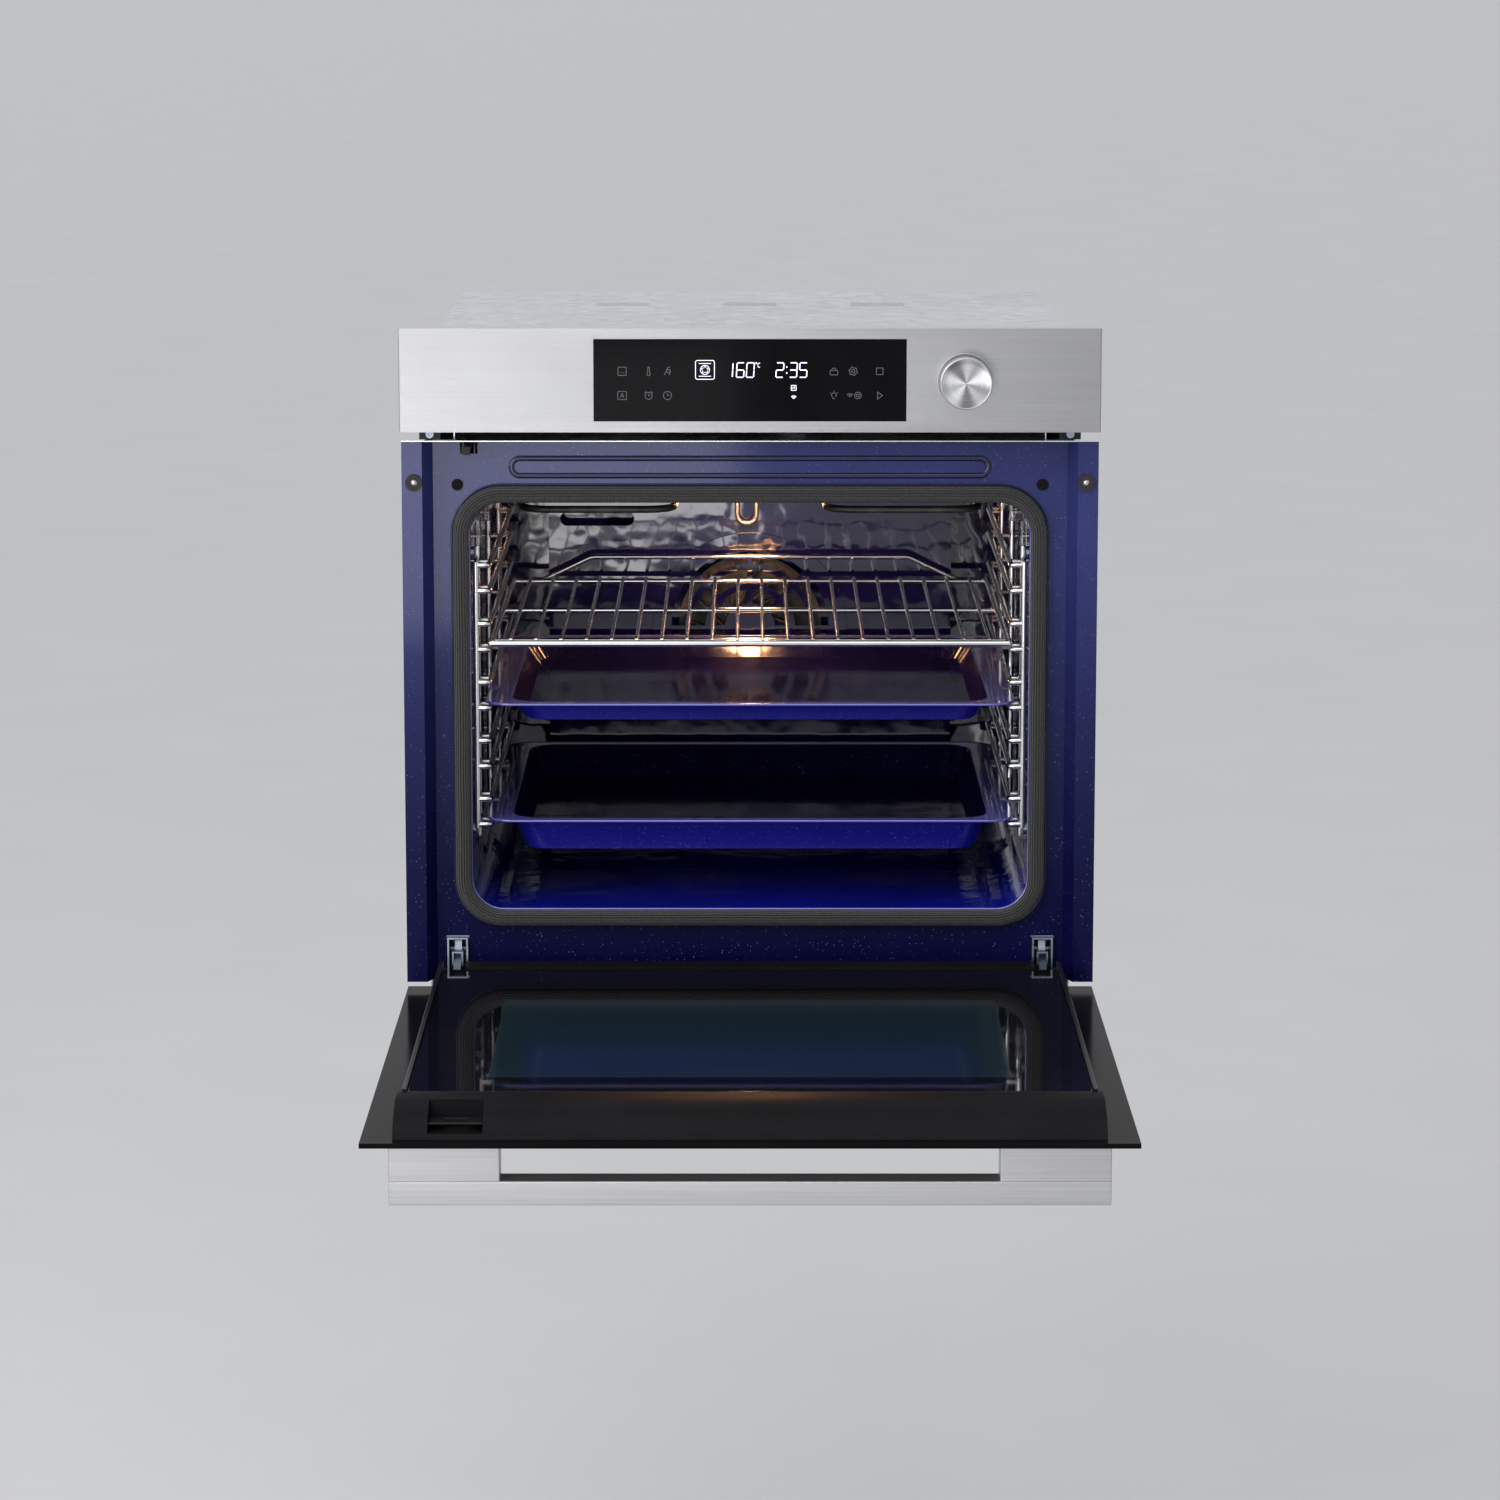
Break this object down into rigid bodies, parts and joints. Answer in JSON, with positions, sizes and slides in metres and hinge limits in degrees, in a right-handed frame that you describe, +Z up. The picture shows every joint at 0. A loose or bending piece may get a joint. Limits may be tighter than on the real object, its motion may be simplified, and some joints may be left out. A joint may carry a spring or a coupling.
{
  "type": "wall oven",
  "caption": "Built-in electric oven for a cabinet niche, with a drop-down glass door, a control fascia with a round knob, wire side racks, a wire shelf and enamelled trays.",
  "frame": {"origin": "on the housing's underside, in the cabinet's face plane and on the left-right centre line", "axes": "+X right seen from the front, +Y into the cabinet, +Z up"},
  "size_m": [0.595, 1.0381, 0.627],
  "materials": {
    "galvanised_sheet": "matt galvanised sheet steel",
    "blue_enamel": "glossy blue enamel with fine pale speckles",
    "fascia_steel": "fine horizontal brushing, satin",
    "handle_steel": "satin brushed",
    "display_glass": "black glass, polished",
    "door_glass": "dark heat-reflecting glass",
    "pane_glass": "clear glass with a blue-green tint",
    "black_trim": "satin dark grey",
    "black_metal": "satin black paint",
    "chrome_wire": "bright chrome plate",
    "gasket_braid": "woven glass-fibre braid",
    "mineral_wool": "fibrous blanket",
    "heater_sheath": "dark oxidised steel tube",
    "motor_steel": "plain steel",
    "impeller_alu": "pressed sheet",
    "white_plastic": "heat-proof plastic",
    "circuit_board": "green circuit board",
    "lamp_glass": "clear heat-proof glass",
    "grey_rubber": "soft grey",
    "hinge_steel": "zinc-plated steel",
    "spring_steel": "oiled spring wire"
  },
  "bodies": {
    "oven_body": {"housing_base": "galvanised_sheet", "housing_sides": "galvanised_sheet", "housing_top": "galvanised_sheet", "housing_rear": "galvanised_sheet", "panel_screws": "hinge_steel", "front_frame": "blue_enamel", "flange_grommets": "grey_rubber", "frame_plugs": "black_trim", "cavity_liner": "blue_enamel", "door_gasket": "gasket_braid", "insulation_blanket": "mineral_wool", "rear_baffle": "blue_enamel", "convection_motor": "motor_steel", "ring_heater": "heater_sheath", "grill_element": "heater_sheath", "bottom_element": "heater_sheath", "lamp_housing": "galvanised_sheet", "lamp_bulb": "lamp_glass", "lamp_lens": "lamp_glass", "temperature_probe": "motor_steel", "side_racks": "chrome_wire", "rack_studs": "hinge_steel", "control_fascia": "fascia_steel", "display_glass": "display_glass", "panel_carrier": "black_trim", "power_board": "circuit_board", "knob_bezel": "fascia_steel", "knob_encoder": "black_trim", "air_guide": "galvanised_sheet", "blower_housing": "galvanised_sheet", "cooling_motor": "motor_steel", "terminal_box": "white_plastic", "cable_inlet": "black_trim", "lock_housing": "galvanised_sheet", "hinge_receivers": "hinge_steel", "hinge_arms": "hinge_steel"},
    "door": {"door_outer_glass": "door_glass", "door_middle_glass": "pane_glass", "door_inner_glass": "pane_glass", "door_rails": "black_metal", "door_bottom_rail": "black_trim", "door_top_cap": "black_trim", "door_keeper": "black_metal", "hinge_cases": "hinge_steel", "hinge_springs": "spring_steel", "handle_bar": "handle_steel", "handle_brackets": "handle_steel", "handle_screws": "hinge_steel"},
    "hinge_tie_rods": {"hinge_rods": "hinge_steel"},
    "clip_left": {"hinge_clip_left": "hinge_steel"},
    "clip_right": {"hinge_clip_right": "hinge_steel"},
    "lock": {"lock_hook": "hinge_steel"},
    "knob_drive": {"knob_sleeve": "white_plastic"},
    "knob": {"control_knob": "fascia_steel", "knob_shaft": "hinge_steel"},
    "convection_fan": {"convection_impeller": "impeller_alu"},
    "cooling_fan": {"cooling_rotor": "impeller_alu"},
    "shelf": {"wire_shelf": "chrome_wire"},
    "upper_tray": {"baking_tray": "blue_enamel"},
    "lower_tray": {"deep_tray": "blue_enamel"}
  },
  "joints": [
    {"name": "door_hinge", "type": "hinge", "parent": "oven_body", "child": "door", "pos_m": [0, -0.012, 0.024], "axis": [-1, 0, 0], "range_deg": [0, 90]},
    {"name": "tie_rod_slide", "type": "slide", "parent": "door", "child": "hinge_tie_rods", "axis": [0, -1, 0], "range_m": [0, 0.0126], "deforming": ["hinge_springs"]},
    {"name": "knob_turn", "type": "hinge", "parent": "oven_body", "child": "knob_drive", "pos_m": [0.182, -0.01, 0.5506], "axis": [0, 1, 0], "continuous": true},
    {"name": "knob_press", "type": "slide", "parent": "knob_drive", "child": "knob", "axis": [0, 1, 0], "range_m": [0, 0.002], "stiffness_N_per_m": 600},
    {"name": "lock_swing", "type": "hinge", "parent": "oven_body", "child": "lock", "pos_m": [-0.241, 0.075, 0.49125], "axis": [1, 0, 0], "range_deg": [0, 5]},
    {"name": "convection_fan_spin", "type": "hinge", "parent": "oven_body", "child": "convection_fan", "pos_m": [0, 0.43, 0.268], "axis": [0, 1, 0], "continuous": true},
    {"name": "cooling_fan_spin", "type": "hinge", "parent": "oven_body", "child": "cooling_fan", "pos_m": [0, 0.272, 0.511], "axis": [0, 0, 1], "continuous": true},
    {"name": "shelf_slide", "type": "slide", "parent": "oven_body", "child": "shelf", "axis": [0, 1, 0], "range_m": [-0.3, 0]},
    {"name": "upper_tray_slide", "type": "slide", "parent": "oven_body", "child": "upper_tray", "axis": [0, 1, 0], "range_m": [-0.3, 0]},
    {"name": "lower_tray_slide", "type": "slide", "parent": "oven_body", "child": "lower_tray", "axis": [0, 1, 0], "range_m": [-0.3, 0]},
    {"name": "clip_left_flip", "type": "hinge", "parent": "oven_body", "child": "clip_left", "pos_m": [-0.2545, 0.013, 0.037], "axis": [-1, 0, 0], "range_deg": [-60, 0]},
    {"name": "clip_right_flip", "type": "hinge", "parent": "oven_body", "child": "clip_right", "pos_m": [0.2545, 0.013, 0.037], "axis": [-1, 0, 0], "range_deg": [-60, 0]}
  ],
  "couplings": [
    {"joint": "tie_rod_slide", "follows": "door_hinge", "m_per_rad": 0.008}
  ]
}
